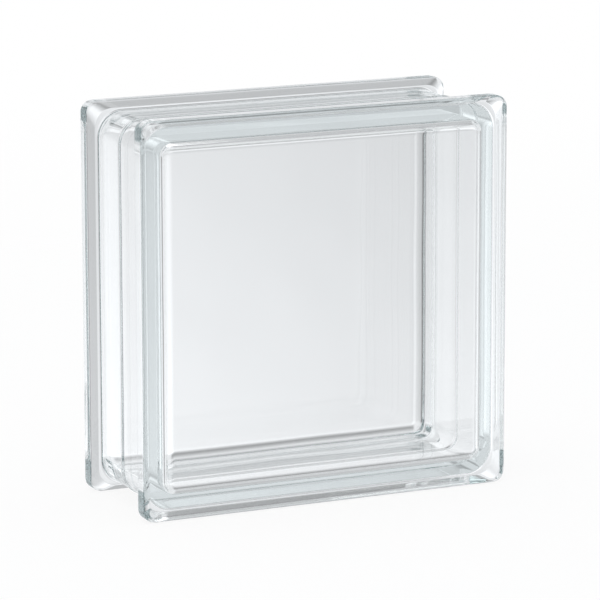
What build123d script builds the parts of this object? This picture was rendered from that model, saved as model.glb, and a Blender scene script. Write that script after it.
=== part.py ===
"""A clear hollow glass block for walls.

Two pressed halves are fused at mid-depth into one sealed piece. Each half has a flat pane with a
lip round it, and a wall, drafted inside and outside, that runs back to the seam. The lips stand
proud, so a mortar channel runs round all four edges between them, with the seam's bead in its middle.
The block stands on its lower edge, with its two panes facing -Y and +Y.
"""

from build123d import *
from math import atan2, degrees
import os

# ---- Block as a whole ----
face_side = 197.0              # width and height over the lips
block_depth = 79.0             # from pane face to pane face

# ---- Lip round each pane ----
lip_edge = 9.2                 # width of the lip's outer edge, along the depth
lip_corner = 6.0               # corner radius of the pane outline, seen from the front
lip_slope = 3.5                # depth over which the back of the lip slopes in
lip_slope_run = 3.2            # how far the slope reaches in towards the channel
face_edge_round = 2.5          # rounding where the pane meets the outer edge
lip_back_round = 2.2           # rounding where the outer edge meets the sloped back

# ---- Mortar channel between the lips ----
channel_recess = 4.6           # how far the channel lies inside the lips, beside them
seam_recess = 4.9              # the same at the seam, deeper by the draft
channel_corner = 12.5          # corner radius of the channel at the seam
channel_root = 1.2             # hollow rounding where the lip's back runs into the channel

# ---- Bead of the fused seam ----
bead_height = 0.5              # how far the bead stands out of the channel
bead_width = 4.4               # its width along the depth
bead_slope = 1.6               # width of the slope on each side of the bead

# ---- Sealed cavity ----
pane_thickness = 5.8           # glass from the face to the cavity
wall_at_pane = 7.1             # wall between channel and cavity, beside the pane
wall_at_seam = 6.4             # the same at the seam, thinner by the draft
cavity_corner = 7.0            # corner radius of the cavity at the seam, seen from the front
cavity_round = 5.4             # rounding between the pane and the wall, inside

# ---- Derived sizes ----
half_depth = block_depth / 2
lip_root = lip_edge + lip_slope                       # depth of the lip where it meets the channel
channel_side = face_side - 2 * channel_recess         # beside the lips
seam_side = face_side - 2 * seam_recess
bead_side = seam_side + 2 * bead_height
bead_flat = bead_width / 2 - bead_slope                # from mid-depth to the slope
bead_angle = degrees(atan2(bead_height, bead_slope))
cavity_side = seam_side - 2 * wall_at_seam             # at the seam
cavity_depth = half_depth - pane_thickness
channel_draft = degrees(atan2(seam_recess - channel_recess, half_depth - lip_root))
cavity_run = channel_recess + wall_at_pane - seam_recess - wall_at_seam   # inwards, over that depth
cavity_draft = degrees(atan2(cavity_run, cavity_depth))
lip_slope_angle = degrees(atan2(lip_slope_run, lip_slope))
face_centre = Vector(0, 0, face_side / 2)
fuzz = face_side / 1e5         # width of the slice that picks out the edges lying in one plane


def upright(depth):
    """Plane across the block at this distance in front of mid-depth, seen from the front."""
    return Plane(face_centre - Vector(0, depth, 0), x_dir=(1, 0, 0), z_dir=(0, -1, 0))


def reach(edge):
    """How far an edge gets from the middle of the block, sideways or up and down."""
    box = edge.bounding_box()
    return max(box.max.X, -box.min.X, box.max.Z - face_centre.Z, face_centre.Z - box.min.Z)


# ---- Outside of the front half, from mid-depth to the pane face ----
with BuildPart() as front_half:
    # Half of the seam's bead, a low ridge with a sloped side
    with BuildSketch(upright(0)):
        RectangleRounded(bead_side, bead_side, channel_corner + bead_height)
    extrude(amount=bead_flat)
    with BuildSketch(upright(bead_flat)):
        RectangleRounded(bead_side, bead_side, channel_corner + bead_height)
    extrude(amount=bead_slope, taper=bead_angle)
    # Wall under the mortar channel, drafted so that it widens towards the lip
    with BuildSketch(upright(0)):
        RectangleRounded(seam_side, seam_side, channel_corner)
    extrude(amount=half_depth - lip_edge, taper=-channel_draft)
    # Lip and pane
    with BuildSketch(upright(half_depth - lip_edge)):
        RectangleRounded(face_side, face_side, lip_corner)
    extrude(amount=lip_edge)
    # Sloped back of the lip
    with BuildSketch(upright(half_depth - lip_edge)):
        RectangleRounded(face_side, face_side, lip_corner)
    extrude(amount=-lip_slope, taper=lip_slope_angle)

# Rounded edges of the lip, and the hollow rounding where its back runs into the channel
lip_back_plane = -(half_depth - lip_edge)
root_plane = -(half_depth - lip_root)
with front_half:
    fillet(front_half.edges().group_by(Axis.Y)[0], radius=face_edge_round)
    fillet(
        front_half.edges().filter_by_position(Axis.Y, lip_back_plane - fuzz, lip_back_plane + fuzz),
        radius=lip_back_round,
    )
    root_edges = front_half.edges().filter_by_position(Axis.Y, root_plane - fuzz, root_plane + fuzz)
    fillet(root_edges.filter_by(lambda edge: reach(edge) < channel_side / 2 + fuzz), radius=channel_root)

# ---- Half of the sealed cavity: drafted walls, rounded into the pane ----
with BuildPart() as half_cavity:
    with BuildSketch(upright(0)):
        RectangleRounded(cavity_side, cavity_side, cavity_corner)
    extrude(amount=cavity_depth, taper=cavity_draft)
    fillet(half_cavity.edges().group_by(Axis.Y)[0], radius=cavity_round)

# ---- The whole block: both halves fused, hollow inside ----
with BuildPart() as cavity:
    add(half_cavity.part)
    mirror(about=Plane.XZ)

with BuildPart() as glass_block:
    add(front_half.part)
    mirror(about=Plane.XZ)
    add(cavity.part, mode=Mode.SUBTRACT)

os.makedirs("parts", exist_ok=True)
glass_block.part.label = "glass_block"
export_step(glass_block.part, "parts/glass_block.step")
print("volume", round(glass_block.part.volume), "valid", glass_block.part.is_valid)
print("solids", len(glass_block.solids()), "shells", len(glass_block.part.shells()))
print("faces", len(glass_block.faces()))
print("box", glass_block.part.bounding_box())
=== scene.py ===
# %% [markdown]
# # A clear glass block
# A hollow glass block is pressed as two shallow dishes of molten glass, which are fused rim to rim.
# What is left to see is a square pane on each side with a raised lip, a channel for the mortar
# between the lips, and the bead of the seam in the middle of the channel.
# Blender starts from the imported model, so that every size below is the size of the real thing.

import math

import bpy
from mathutils import Matrix, Vector, noise


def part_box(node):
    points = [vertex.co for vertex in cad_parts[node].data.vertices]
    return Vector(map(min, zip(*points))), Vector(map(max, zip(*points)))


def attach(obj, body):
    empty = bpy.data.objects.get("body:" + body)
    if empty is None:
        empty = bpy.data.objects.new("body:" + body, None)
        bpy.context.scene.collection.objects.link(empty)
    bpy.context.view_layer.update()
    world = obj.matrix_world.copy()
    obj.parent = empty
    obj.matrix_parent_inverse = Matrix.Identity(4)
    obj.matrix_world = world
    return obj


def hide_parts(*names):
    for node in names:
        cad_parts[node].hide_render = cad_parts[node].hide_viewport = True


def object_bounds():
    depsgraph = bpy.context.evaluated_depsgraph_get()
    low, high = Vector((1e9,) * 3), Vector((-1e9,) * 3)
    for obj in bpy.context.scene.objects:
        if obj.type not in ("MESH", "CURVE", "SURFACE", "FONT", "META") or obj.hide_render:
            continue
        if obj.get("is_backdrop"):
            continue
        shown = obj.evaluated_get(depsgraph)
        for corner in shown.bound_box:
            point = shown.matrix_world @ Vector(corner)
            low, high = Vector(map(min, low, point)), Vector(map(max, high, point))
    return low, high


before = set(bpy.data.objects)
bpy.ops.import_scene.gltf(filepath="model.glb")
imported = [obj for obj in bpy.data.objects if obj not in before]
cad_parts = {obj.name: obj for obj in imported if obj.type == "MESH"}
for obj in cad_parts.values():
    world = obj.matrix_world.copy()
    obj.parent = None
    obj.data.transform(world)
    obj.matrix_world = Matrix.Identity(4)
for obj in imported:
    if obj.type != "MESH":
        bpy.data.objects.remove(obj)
cad_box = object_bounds()
print("nodes", sorted(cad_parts), "box", cad_box)

MM = 0.001
block_low, block_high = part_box("glass_block")
FACE = (block_high[0] - block_low[0]) / MM
DEPTH = (block_high[1] - block_low[1]) / MM
MID_HEIGHT = (block_low[2] + block_high[2]) / 2 / MM
print("face", round(FACE, 2), "mm, depth", round(DEPTH, 2), "mm")

# %% [markdown]
# ## The section of the glass
# Clear glass shows its own thickness everywhere, so the render depends on the true section: the
# lip, the hollow roundings and the drafted inner wall all bend the light. A box with bevel modifiers
# would come near, but each of these edges has its own rounding. So the section is written as two
# lines of corner points, one outside and one in the cavity, and each corner has a radius. The first
# number of a point is its distance from the middle of the block, and the second its distance in
# front of mid-depth. The back half is the mirror image.

# %% Sizes of the section, in millimetres
LIP_EDGE = 9.2              # width of the lip's outer edge, along the depth
LIP_SLOPE = 3.5             # depth over which the back of the lip slopes in
LIP_RUN = 3.2               # how far that slope reaches in towards the channel
LIP_CORNER = 6.0            # corner radius of the lip, seen from the front
FACE_ROUND = 2.5            # rounding between the pane and the lip's edge
LIP_BACK_ROUND = 2.2        # rounding between the lip's edge and its sloped back
LIP_FOOT = 0.4              # rounding at the foot of the slope
CHANNEL_ROOT = 1.2          # hollow rounding where the lip runs into the channel
RECESS = 4.6                # how deep the channel lies beside the lips
SEAM_RECESS = 4.9           # the same at the seam
CHANNEL_CORNER = 12.5       # corner radius of the channel at the seam
PANE = 5.8                  # glass from the face to the cavity
WALL_AT_PANE = 7.1          # glass between channel and cavity, beside the pane
WALL_AT_SEAM = 6.4          # the same at the seam
CAVITY_CORNER = 7.0         # corner radius of the cavity at the seam
CAVITY_ROUND = 5.4          # rounding between the pane and the wall, inside
BEAD_HEIGHT = 0.5           # how far the seam's bead stands out of the channel
BEAD_REACH = 2.2            # from mid-depth to the bead's foot

half = FACE / 2
mid = DEPTH / 2
channel = half - RECESS
seam = half - SEAM_RECESS
lip_back = mid - LIP_EDGE - LIP_SLOPE
print("channel", round(2 * channel, 2), "mm across, at the seam", round(2 * seam, 2), "mm")

# %% [markdown]
# ## Rounded corners
# A rounding is an arc that touches both runs beside its corner. Its middle lies on the line that
# halves the corner's angle. A rounding inside the cavity is seen through a pane, which shows every
# step of it, so it gets twice as many steps.

# %% The two rounded lines
OUTSIDE_STEPS = 8
INSIDE_STEPS = 16


def rounded_corners(corners, steps):
    """Points along a line whose corners (across, ahead, radius) are rounded by arcs."""
    points = [Vector(corners[0][:2])]
    for before, corner, after in zip(corners, corners[1:], corners[2:]):
        here = Vector(corner[:2])
        back = (Vector(before[:2]) - here).normalized()
        on = (Vector(after[:2]) - here).normalized()
        half_angle = back.angle(on) / 2
        reach = corner[2] / math.tan(half_angle)
        centre = here + (back + on).normalized() * (corner[2] / math.sin(half_angle))
        start = here + back * reach - centre
        end = here + on * reach - centre
        turn = start.angle_signed(end)
        for step in range(steps + 1):
            points.append(centre + Matrix.Rotation(-turn * step / steps, 2) @ start)
    points.append(Vector(corners[-1][:2]))
    return points


outside = rounded_corners([
    (seam, BEAD_REACH, 0),
    (channel, lip_back, CHANNEL_ROOT),
    (half - LIP_RUN, lip_back, LIP_FOOT),
    (half, mid - LIP_EDGE, LIP_BACK_ROUND),
    (half, mid, FACE_ROUND),
    (0.0, mid, 0)], OUTSIDE_STEPS)
inside = rounded_corners([
    (seam - WALL_AT_SEAM, 0, 0),
    (channel - WALL_AT_PANE, mid - PANE, CAVITY_ROUND),
    (0.0, mid - PANE, 0)], INSIDE_STEPS)
print("rounded lines:", len(outside), "points outside,", len(inside), "inside")

# %% [markdown]
# ## The bead, and points on the long runs
# Where the halves are fused, the glass has bulged into a low, smooth hump, which half a cosine wave
# draws well. The flat runs need few points. But smooth shading spreads a rounding over the whole
# face beside it, so each run gets one point close to either end, and a few between for the slight
# waves that come later.

# %% Complete section
BEAD_STEPS = 10
LONGEST_RUN = 6.0
NEAR_END = 0.6


def bead(across, height, reach):
    """The fused bead: a smooth hump from mid-depth to its foot."""
    points = []
    for step in range(BEAD_STEPS):
        rise = (1 + math.cos(math.pi * step / BEAD_STEPS)) / 2
        points.append(Vector((across + height * rise, reach * step / BEAD_STEPS)))
    return points


def split_long_runs(points):
    """Adds points on long runs: one close to each end, and some between."""
    out = [points[0]]
    for a, b in zip(points, points[1:]):
        run = (b - a).length
        if run > 4 * NEAR_END:
            near = NEAR_END / run
            count = max(1, round((run - 2 * NEAR_END) / LONGEST_RUN))
            places = [near]
            places += [near + (1 - 2 * near) * k / count for k in range(1, count)]
            places += [1 - near]
            out += [a.lerp(b, place) for place in places]
        out.append(b)
    return out


outside = split_long_runs(bead(seam, BEAD_HEIGHT, BEAD_REACH) + outside)
inside = split_long_runs(inside)
print("section:", len(outside), "points outside,", len(inside), "inside")

# %% [markdown]
# ## Rings round the block
# Each point of the section becomes a ring round the block: a square with round corners, seen from
# the front. The mortar channel has wider corners than the lips, so each ring has its own corner
# radius, and the sloped back of the lip leads from one towards the other. A bevelled curve would
# carry the section round more easily, but with one corner for all of it.

# %% Corner radius of each ring
SLOPE_CORNER = 9.5          # at the foot of the lip's slope
SHARPEST = 0.4
TOUCH = 0.01                # points closer than this count as in one place


def outside_corner(point):
    """Wide in the channel, tighter on the lip, and led over on the slope between them."""
    if point.y < lip_back + TOUCH and point.x < half - LIP_RUN - TOUCH:
        return CHANNEL_CORNER + point.x - seam
    if point.y < mid - LIP_EDGE:
        up_the_slope = (point.y - lip_back) / LIP_SLOPE
        return SLOPE_CORNER + (LIP_CORNER - SLOPE_CORNER) * up_the_slope
    return max(LIP_CORNER - (half - point.x), SHARPEST)


def inside_corner(point):
    """Gets sharper towards the pane, as the cavity gets narrower."""
    return max(CAVITY_CORNER - (seam - WALL_AT_SEAM - point.x), SHARPEST)


for name, section, corner_of in (("outside", outside, outside_corner), ("cavity", inside, inside_corner)):
    radii = [corner_of(point) for point in section]
    print(name, "corners from", round(min(radii), 2), "to", round(max(radii), 2), "mm")

# %% [markdown]
# All rings have the same number of points, and neighbours are joined by four-sided faces. That
# keeps the mesh even and the shading clean. The first and the last ring close on one point in the
# middle of each pane. The cavity's faces are turned round, because its glass is on the outside.

# %% Rings and skins
CORNER_STEPS = 16
SIDE_STEPS = 40


def ring_points(across, corner, ahead):
    """Points of a rounded square, anticlockwise seen from the front."""
    corner = min(corner, across)
    flat = across - corner
    points = []
    for quarter in range(4):
        turn = Matrix.Rotation(quarter * math.pi / 2, 2)
        for step in range(CORNER_STEPS):
            angle = math.pi / 2 * step / CORNER_STEPS
            arc = Vector((flat + corner * math.cos(angle), flat + corner * math.sin(angle)))
            points.append(turn @ arc)
        for step in range(SIDE_STEPS):
            points.append(turn @ Vector((flat - 2 * flat * step / SIDE_STEPS, across)))
    return [Vector((p.x, -ahead, p.y)) for p in points]


def skin(section, corner_of, outward):
    """Vertices and faces of a closed skin, from the front pane's middle to the back pane's."""
    front = [(p.x, corner_of(p), p.y) for p in reversed(section)]
    back = [(across, corner, -ahead) for across, corner, ahead in reversed(front)][1:]
    rings = front[1:] + back[:-1]
    pane_middle = front[0][2]
    verts = [Vector((0, -pane_middle, 0))]
    for across, corner, ahead in rings:
        verts += ring_points(across, corner, ahead)
    verts.append(Vector((0, pane_middle, 0)))
    in_ring = 4 * (CORNER_STEPS + SIDE_STEPS)
    last_ring = 1 + (len(rings) - 1) * in_ring
    faces = []
    for k in range(in_ring):
        after = (k + 1) % in_ring
        faces.append((0, 1 + k, 1 + after))
        for r in range(len(rings) - 1):
            a = 1 + r * in_ring
            b = a + in_ring
            faces.append((a + k, b + k, b + after, a + after))
        faces.append((len(verts) - 1, last_ring + after, last_ring + k))
    if not outward:
        faces = [tuple(reversed(face)) for face in faces]
    return verts, faces


print("points in a ring", len(ring_points(half, LIP_CORNER, mid)))

# %% [markdown]
# ## Pressed glass is never quite true
# The mould and the plunger leave the surfaces a few hundredths of a millimetre uneven. Nobody sees
# that on the surface itself, but it bends every line seen through it. A slow noise moves the points,
# and what is finer than the mesh is left to the material. Blender's noise vector takes its offsets
# from the clock unless it is given a seed, so the seed comes first: the block is then the same in
# each run. Both skins go into one mesh, because the render needs to know that the glass is between
# them.

# %% Build the block
NOISE_SEED = 5
WAVE_LENGTH = 30.0
WAVE_DEPTH = 0.06
OUTSIDE_OFFSET = 3.1
INSIDE_OFFSET = 8.4
OFFSET_SKEW = 0.7

noise.seed_set(NOISE_SEED)


def uneven(point, offset):
    """A slow, repeatable push, at most about the wave's depth in each direction."""
    at = point / WAVE_LENGTH + Vector((offset, offset * OFFSET_SKEW, -offset))
    return noise.noise_vector(at) * WAVE_DEPTH


def glass_mesh(name):
    """One mesh of both skins, standing on the block's lower edge."""
    verts, faces = [], []
    for section, corner_of, outward, offset in (
            (outside, outside_corner, True, OUTSIDE_OFFSET),
            (inside, inside_corner, False, INSIDE_OFFSET)):
        skin_verts, skin_faces = skin(section, corner_of, outward)
        first = len(verts)
        verts += [p + uneven(p, offset) for p in skin_verts]
        faces += [tuple(first + i for i in face) for face in skin_faces]
    mesh = bpy.data.meshes.new(name)
    mesh.from_pydata([(p.x * MM, p.y * MM, (p.z + MID_HEIGHT) * MM) for p in verts], [], faces)
    mesh.shade_smooth()
    mesh.validate()
    return mesh


block = bpy.data.objects.new("pressed_glass_block", glass_mesh("pressed_glass_block"))
bpy.context.scene.collection.objects.link(block)
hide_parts("glass_block")
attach(block, "root")
print("block:", len(block.data.vertices), "points,", len(block.data.polygons), "faces")

# %% [markdown]
# ## Nodes in a few words
# The materials and the studio are node trees. This small helper adds a node with its values, wires
# sockets, and has the two kinds of sum that come up all the time: plain maths, and a step that
# rises smoothly from 0 to 1.

# %% Helper for node trees
class Tree:
    """An emptied node tree, filled by add, wire, maths and soft_step."""

    def __init__(self, owner):
        owner.use_nodes = True
        self.nodes = owner.node_tree.nodes
        self.wire = owner.node_tree.links.new
        self.nodes.clear()

    def add(self, kind, operation=None, **values):
        node = self.nodes.new(kind)
        if operation:
            node.operation = operation
        for socket, value in values.items():
            node.inputs[socket.replace("_", " ")].default_value = value
        return node

    def maths(self, operation, first, second=None):
        """One sum, product or the like, of sockets or numbers."""
        node = self.add("ShaderNodeMath", operation)
        for socket, value in zip(node.inputs, (first, second)):
            if isinstance(value, (int, float)):
                socket.default_value = value
            elif value is not None:
                self.wire(value, socket)
        return node.outputs[0]

    def soft_step(self, value, start, end):
        """Rises smoothly from 0 at start to 1 at end."""
        node = self.add("ShaderNodeMapRange", From_Min=start, From_Max=end)
        node.interpolation_type = "SMOOTHSTEP"
        self.wire(value, node.inputs["Value"])
        return node.outputs["Result"]


print("helper ready:", [word for word in dir(Tree) if not word.startswith("_")])

# %% [markdown]
# ## Clear pressed glass
# The glass is soda lime, which bends light by 1.52. A few centimetres of it look faintly green, and
# a volume shows that better than a surface colour: the longer the way through, the deeper the tint.
# Its skin isn't polished. It carries a fine orange-peel wave, and here and there along the lips'
# back edges, where the mould's parts met, the edge is rippled. Both are bump. The ripple is limited
# by two masks: one for the distance from that edge, and one slow noise that leaves most of it clean.

# %% Glass material
GLASS_BENDS = 1.52
GLASS_TINT = (0.675, 0.735, 0.74, 1)
TINT_PER_METRE = 11.5
PEEL_PER_METRE = 80.0
PEEL_HEIGHT = 0.000002
RIPPLE_PER_METRE = 520.0
RIPPLE_HEIGHT = 0.00003
RIPPLE_REACH = 0.0012
PATCHES_PER_METRE = 12.0
PATCH_FROM = 0.60
PATCH_TO = 0.68


def clear_glass(name):
    """Clear glass with a fine wave all over and a ripple on parts of the lips' back edges."""
    material = bpy.data.materials.new(name)
    tree = Tree(material)
    output = tree.add("ShaderNodeOutputMaterial")
    shader = tree.add("ShaderNodeBsdfPrincipled", Base_Color=(1, 1, 1, 1), Roughness=0.0,
                      IOR=GLASS_BENDS, Transmission_Weight=1.0)
    tree.wire(shader.outputs["BSDF"], output.inputs["Surface"])
    absorb = tree.add("ShaderNodeVolumeAbsorption", Color=GLASS_TINT, Density=TINT_PER_METRE)
    tree.wire(absorb.outputs["Volume"], output.inputs["Volume"])
    place = tree.add("ShaderNodeTexCoord").outputs["Object"]

    def noise_of(per_metre, detail):
        node = tree.add("ShaderNodeTexNoise", Scale=per_metre, Detail=detail)
        tree.wire(place, node.inputs["Vector"])
        return node.outputs["Fac"]

    split = tree.add("ShaderNodeSeparateXYZ")
    tree.wire(place, split.inputs[0])
    from_middle = tree.maths("ABSOLUTE", split.outputs["Y"])
    past_edge = tree.maths("SUBTRACT", from_middle, (mid - LIP_EDGE) * MM)
    on_edge = tree.soft_step(tree.maths("ABSOLUTE", past_edge), RIPPLE_REACH, 0.0)
    patches = tree.soft_step(noise_of(PATCHES_PER_METRE, 1.0), PATCH_FROM, PATCH_TO)
    where = tree.maths("MULTIPLY", on_edge, patches)
    ripple = tree.maths("MULTIPLY", noise_of(RIPPLE_PER_METRE, 2.0), where)
    peel = tree.maths("MULTIPLY", noise_of(PEEL_PER_METRE, 2.0), PEEL_HEIGHT)
    height = tree.maths("ADD", tree.maths("MULTIPLY", ripple, RIPPLE_HEIGHT), peel)
    bump = tree.add("ShaderNodeBump", Distance=1.0)
    tree.wire(height, bump.inputs["Height"])
    tree.wire(bump.outputs["Normal"], shader.inputs["Normal"])
    return material


glass = clear_glass("clear_pressed_glass")
block.data.materials.append(glass)
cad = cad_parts["glass_block"]
cad.data.materials.clear()
cad.data.materials.append(glass)
print("glass:", len(glass.node_tree.nodes), "nodes")

# %% [markdown]
# ## A pale floor
# The block stands on a large sheet, a hair below its lower edge, so that the two surfaces don't
# fight over the same place.

# %% Floor
FLOOR_REACH = 1.6
FLOOR_GAP = 0.0002

floor_mesh = bpy.data.meshes.new("floor")
corners = [(x * FLOOR_REACH, y * FLOOR_REACH, 0) for x, y in ((-1, -1), (1, -1), (1, 1), (-1, 1))]
floor_mesh.from_pydata(corners, [], [(0, 1, 2, 3)])
floor = bpy.data.objects.new("floor", floor_mesh)
floor.location.z = block_low[2] - FLOOR_GAP
bpy.context.scene.collection.objects.link(floor)
floor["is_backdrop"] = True
print("floor", 2 * FLOOR_REACH, "m across")

# %% [markdown]
# ## Paper that keeps the shadow
# The floor is white paper. The camera sees nine tenths of it as plain light of its own, and one
# tenth as paper that takes the block's shadow. Further out it fades into the background. Rays that
# have been through the glass or off it pass on to the studio below, which is this paper with grey
# cards on it.

# %% Paper
PAPER_SELF_LIT = 0.9
PAPER_WHITE = (0.9, 0.9, 0.9, 1)
WHITE = (1, 1, 1, 1)
FADE_FROM = 0.35
FADE_TO = 1.4

paper = bpy.data.materials.new("floor_paper")
tree = Tree(paper)
matt = tree.add("ShaderNodeBsdfDiffuse", Color=PAPER_WHITE)
lit = tree.add("ShaderNodeEmission", Color=WHITE, Strength=1.0)
path = tree.add("ShaderNodeLightPath")
through = tree.add("ShaderNodeBsdfTransparent")
from_block = tree.add("ShaderNodeVectorMath", "LENGTH")
tree.wire(tree.add("ShaderNodeTexCoord").outputs["Object"], from_block.inputs[0])
far = tree.soft_step(from_block.outputs["Value"], FADE_FROM, FADE_TO)
by_glass = tree.maths("ADD", path.outputs["Is Glossy Ray"], path.outputs["Is Transmission Ray"])
self_lit = tree.maths("MULTIPLY", path.outputs["Is Camera Ray"], PAPER_SELF_LIT)
seen = tree.add("ShaderNodeMixShader")
tree.wire(self_lit, seen.inputs[0])
tree.wire(matt.outputs[0], seen.inputs[1])
tree.wire(lit.outputs[0], seen.inputs[2])
faded = tree.add("ShaderNodeMixShader")
tree.wire(tree.maths("MAXIMUM", far, by_glass), faded.inputs[0])
tree.wire(seen.outputs[0], faded.inputs[1])
tree.wire(through.outputs[0], faded.inputs[2])
tree.wire(faded.outputs[0], tree.add("ShaderNodeOutputMaterial").inputs["Surface"])
floor_mesh.materials.append(paper)
print("paper:", len(paper.node_tree.nodes), "nodes")

# %% [markdown]
# ## The studio that the glass shows
# Clear glass has no look of its own: every band in it is a piece of the room, bent. So the room is
# drawn with care. Upright walls of the block only ever show what lies at the height of the view, all
# the way round, and level walls show what lies above and below it. The first list is therefore
# brightness by compass, in degrees, with 0 to the right of the block and 90 behind it. The other two
# are brightness by height, from -1 straight down to 1 straight up, behind the block and in front of
# it. Most of the values came out of a fit: the block was rendered under one narrow strip of light
# after another, and least squares weighed those pictures so that they add up to the bands of the
# real block. Some that the front view hardly shows were then set so that the block looks clear from
# behind as well. The result is a bright room with a few narrow dark cards, such as one to the right,
# one to the left and one high up behind.

# %% Brightness of the studio
BY_COMPASS = (
    (-180, 0.6), (-165, 0.18), (-150, 0.5), (-135, 0.6), (-120, 0.65), (-105, 0.6), (-90, 0.8),
    (-75, 0.75), (-60, 0.75), (-45, 0.87), (-30, 0.98), (-20, 1.11), (-10, 1.15), (0, 0.84),
    (10, 0.28), (20, 0.07), (30, 0.62), (38, 0.64), (46, 0.73), (54, 0.95), (62, 0.77),
    (70, 1.01), (78, 1.13), (86, 1.02), (94, 0.97), (104, 0.88), (116, 1.3), (128, 0.94),
    (140, 0.86), (150, 0.87), (165, 0.96))
BY_HEIGHT_BEHIND = (
    (-1.0, 0.18), (-0.75, 0.84), (-0.5, 0.29), (-0.36, 0.9), (0.0, 1.12), (0.08, 1.15),
    (0.16, 0.81), (0.24, 1.01), (0.32, 0.53), (0.42, 0.52), (0.54, 0.0), (0.68, 1.22),
    (0.84, 0.67), (1.0, 0.86))
BY_HEIGHT_IN_FRONT = (
    (-0.75, 0.71), (-0.45, 0.35), (0.0, 0.5), (0.2, 0.35), (0.4, 0.4), (0.6, 0.87), (0.8, 0.54))
COOL = (0.985, 1.0, 1.02)


def tinted(grey):
    """A grey with the studio's slightly cool tone."""
    return (*(grey * c for c in COOL), 1)


full_circle = (*BY_COMPASS, (180, BY_COMPASS[0][1]))
greys = [grey for place, grey in full_circle]
print("compass:", len(full_circle), "places, mean brightness", round(sum(greys) / len(greys), 2))

# %% [markdown]
# ## Lists become colour ramps
# A colour ramp is a list of bands along a value from 0 to 1, so each list becomes one ramp, and its
# places are fitted into that range. A ramp holds 32 bands at most. Blends then join the ramps where
# they meet, and soft edges keep the joints from showing in the glass.

# %% Ramps and blends
world = bpy.data.worlds.new("studio")
bpy.context.scene.world = world
tree = Tree(world)


def brightness(name, value, stops, low, high):
    """A ramp of greys along a value that runs from low to high."""
    node = tree.add("ShaderNodeValToRGB")
    node.label = name
    bands = node.color_ramp.elements
    while len(bands) < len(stops):
        bands.new(0.5)
    for band, (place, grey) in zip(bands, stops):
        band.position = (place - low) / (high - low)
        band.color = tinted(grey)
    above_low = tree.maths("SUBTRACT", value, low)
    tree.wire(tree.maths("DIVIDE", above_low, high - low), node.inputs["Fac"])
    return node.outputs["Color"]


def blend(amount, first, second):
    """The first colour at amount 0, the second at 1."""
    node = tree.add("ShaderNodeMix")
    node.data_type = "RGBA"
    tree.wire(amount, node.inputs["Factor"])
    for socket, colour in ((node.inputs[6], first), (node.inputs[7], second)):
        if isinstance(colour, tuple):
            socket.default_value = colour
        else:
            tree.wire(colour, socket)
    return node.outputs[2]


split = tree.add("ShaderNodeSeparateXYZ")
tree.wire(tree.add("ShaderNodeTexCoord").outputs["Generated"], split.inputs[0])
east, north, height = split.outputs
compass = tree.maths("MULTIPLY", tree.maths("ARCTAN2", north, east), 180 / math.pi)
all_round = brightness("by compass", compass, full_circle, -180, 180)
behind = brightness("by height, behind", height, BY_HEIGHT_BEHIND, -1, 1)
in_front = brightness("by height, in front", height, BY_HEIGHT_IN_FRONT, -1, 1)
print("studio:", len(tree.nodes), "nodes so far")

# %% [markdown]
# ## The room put together
# The view runs slightly down. Within a narrow band round its height the compass list counts, a
# little dimmer higher up, as a backdrop is. Above and below it the heights count, but only in line
# with the view, and the front and back halves of the room meet at the block's sides. To either side
# of that hangs plain paper. The camera itself sees only white, at a strength of 1.

# %% World
VIEW_HEIGHT = -0.203        # how far the direction of the view runs up
VIEW_EAST = 0.406           # about how far it runs to the right of the block
LEVEL_BAND = (0.10, 0.20)
SIDES_MEET = (-0.3, 0.3)
PLAIN_BAND = (0.10, 0.22)
PLAIN_PAPER = 0.88
DIMMER_PER_HEIGHT = 1.9

off_level = tree.maths("SUBTRACT", height, VIEW_HEIGHT)
off_view = tree.maths("SUBTRACT", east, VIEW_EAST)
by_height = blend(tree.soft_step(north, *SIDES_MEET), in_front, behind)
to_the_side = tree.soft_step(tree.maths("ABSOLUTE", off_view), *PLAIN_BAND)
above_or_below = tree.soft_step(tree.maths("ABSOLUTE", off_level), *LEVEL_BAND)
dimmed = tree.add("ShaderNodeVectorMath", "SCALE")
tree.wire(all_round, dimmed.inputs[0])
fall = tree.maths("MULTIPLY", off_level, DIMMER_PER_HEIGHT)
tree.wire(tree.maths("SUBTRACT", 1.0, fall), dimmed.inputs["Scale"])
with_paper = blend(to_the_side, by_height, tinted(PLAIN_PAPER))
room = blend(above_or_below, dimmed.outputs[0], with_paper)
studio = tree.add("ShaderNodeBackground")
tree.wire(room, studio.inputs["Color"])
white = tree.add("ShaderNodeBackground", Color=WHITE)
seen = tree.add("ShaderNodeMixShader")
tree.wire(tree.add("ShaderNodeLightPath").outputs["Is Camera Ray"], seen.inputs[0])
tree.wire(studio.outputs[0], seen.inputs[1])
tree.wire(white.outputs[0], seen.inputs[2])
tree.wire(seen.outputs[0], tree.add("ShaderNodeOutputWorld").inputs["Surface"])
print("studio:", len(tree.nodes), "nodes")

# %% [markdown]
# ## One soft lamp
# The studio already lights the glass from all round. One large softbox overhead adds the small
# highlights along the rounded edges and gives the floor a soft shadow.

# %% Lamp
SOFTBOX_PLACE = Vector((-0.2, -0.2, 1.6))
SOFTBOX_SIDE = 1.2
SOFTBOX_WATTS = 6
BLOCK_MIDDLE = Vector((0, 0, 0.1))

light = bpy.data.lights.new("top_softbox", "AREA")
light.shape = "RECTANGLE"
light.size = SOFTBOX_SIDE
light.size_y = SOFTBOX_SIDE
light.energy = SOFTBOX_WATTS
lamp = bpy.data.objects.new("top_softbox", light)
lamp.location = SOFTBOX_PLACE
lamp.rotation_euler = (BLOCK_MIDDLE - SOFTBOX_PLACE).to_track_quat("-Z", "Y").to_euler()
bpy.context.scene.collection.objects.link(lamp)
print("softbox", SOFTBOX_SIDE, "m wide,", round((BLOCK_MIDDLE - SOFTBOX_PLACE).length, 2), "m away")

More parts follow.
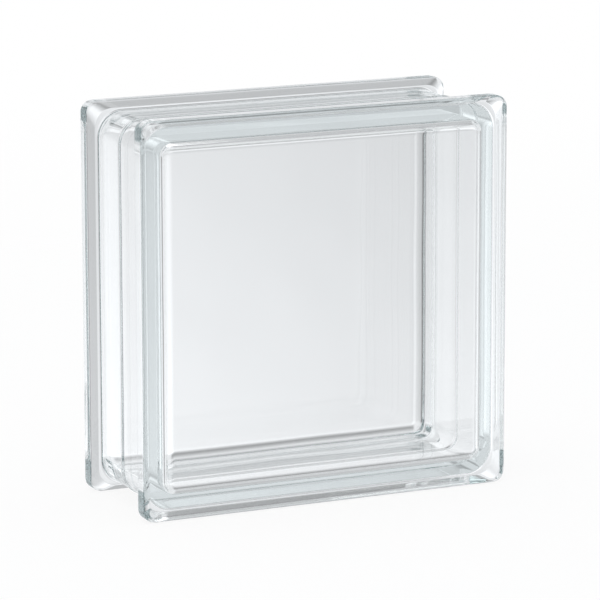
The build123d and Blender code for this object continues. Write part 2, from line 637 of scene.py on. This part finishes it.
# %% [markdown]
# ## Enough bounces
# A ray that enters a lip at a flat angle is caught by the glass, and is thrown to and fro inside it
# dozens of times before it gets out. With few bounces it is given up as black, and the far lips get
# hard black edges.

# %% Light paths
MOST_BOUNCES = 64
light_paths = bpy.context.scene.cycles
light_paths.max_bounces = MOST_BOUNCES
light_paths.glossy_bounces = MOST_BOUNCES
light_paths.transmission_bounces = MOST_BOUNCES
print("up to", light_paths.max_bounces, "bounces")

# %% [markdown]
# ## The photograph's point of view
# The camera stands nearly two metres off, a little to the left and above, with a long lens, so that
# the block's edges hardly converge. Its direction, distance and focal length were found by fitting
# the block's corners, and are kept as they came out. The middle of the picture lies slightly off the
# block's, which is made by moving the camera a few millimetres, so the lens itself has no shift.

# %% Camera
AZIMUTH = -25.119           # degrees, from straight in front
ELEVATION = 11.732
ROLL = -0.107
DISTANCE = 1966.536         # millimetres, from the block's middle
SIDEWAYS = -2.594
UPWARD = 3.490
FOCAL_PIXELS = 3949.1
FRAME_PIXELS = 600
SENSOR = 36.0
FAR_LIMIT = 50

azimuth = math.radians(AZIMUTH)
elevation = math.radians(ELEVATION)
roll = math.radians(ROLL)
towards = Vector((
    math.sin(azimuth) * math.cos(elevation),
    -math.cos(azimuth) * math.cos(elevation),
    math.sin(elevation)))
level_right = (-towards).cross(Vector((0, 0, 1))).normalized()
level_up = level_right.cross(-towards)
right = level_right * math.cos(roll) + level_up * math.sin(roll)
up = -level_right * math.sin(roll) + level_up * math.cos(roll)
place = Vector((0, 0, MID_HEIGHT)) + towards * DISTANCE - right * SIDEWAYS - up * UPWARD

camera_data = bpy.data.cameras.new("camera")
camera_data.sensor_width = SENSOR
camera_data.lens = FOCAL_PIXELS / FRAME_PIXELS * SENSOR
camera_data.clip_end = FAR_LIMIT
camera = bpy.data.objects.new("camera", camera_data)
camera.matrix_world = Matrix((
    (right.x, up.x, towards.x, place.x * MM),
    (right.y, up.y, towards.y, place.y * MM),
    (right.z, up.z, towards.z, place.z * MM),
    (0, 0, 0, 1)))
bpy.context.scene.collection.objects.link(camera)
bpy.context.scene.camera = camera
bpy.context.scene.view_settings.view_transform = "Standard"
stands_at = [round(v, 3) for v in camera.matrix_world.translation]
print("camera at", stands_at, "m, lens", round(camera_data.lens, 1), "mm")

# %% [markdown]
# ## Compare the sizes
# The dressed block has to be as big as the imported one. For the low and the high corner, the
# difference between the two boxes is printed in millimetres.

# %% Sizes and finish
dressed_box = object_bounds()
for end, packed, dressed in zip(("low", "high"), cad_box, dressed_box):
    past = [round((b - a) / MM, 2) for a, b in zip(packed, dressed)]
    print("the", end, "corner differs by", past, "mm")
